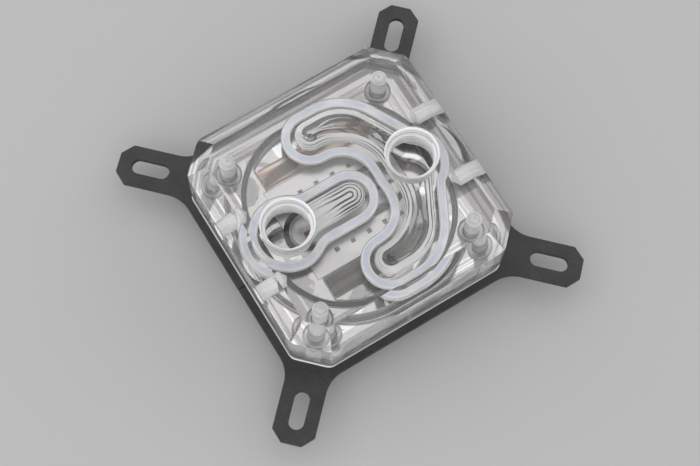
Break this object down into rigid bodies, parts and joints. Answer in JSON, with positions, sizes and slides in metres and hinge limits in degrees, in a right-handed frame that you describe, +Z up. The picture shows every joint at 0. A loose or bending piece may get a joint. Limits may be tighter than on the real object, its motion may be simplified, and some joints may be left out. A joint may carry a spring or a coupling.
{
  "type": "cpu water block",
  "caption": "Clear acrylic water block for cooling a processor, with threaded ports, gasketed channels, a finned nickel cold plate and a slotted mounting bracket.",
  "frame": {"origin": "on the contact face, under the middle of the cold plate", "axes": "+Z up from the contact face, +X from the inlet port to the outlet port"},
  "size_m": [0.0922, 0.0922, 0.0276],
  "materials": {
    "clear_acrylic": "clear, polished, with frosted bores",
    "nickel": "bright nickel plating",
    "jet_steel": "plain rolled stainless sheet",
    "silicone": "translucent bluish white silicone",
    "black_rubber": "matt black rubber",
    "bracket_coat": "fine black powder coat",
    "screw_steel": "turned steel"
  },
  "bodies": {
    "root": {"bracket_front": "bracket_coat", "bracket_rear": "bracket_coat", "cold_plate": "nickel", "corner_screw_front": "screw_steel", "corner_screw_left": "screw_steel", "corner_screw_rear": "screw_steel", "corner_screw_right": "screw_steel", "inlet_gasket": "silicone", "jet_plate": "jet_steel", "middle_plate": "clear_acrylic", "outlet_gasket": "silicone", "plate_o_ring": "black_rubber", "screw_ring_front": "silicone", "screw_ring_left": "silicone", "screw_ring_rear": "silicone", "screw_ring_right": "silicone", "slot_seal": "black_rubber", "top_block": "clear_acrylic"}
  },
  "joints": []
}
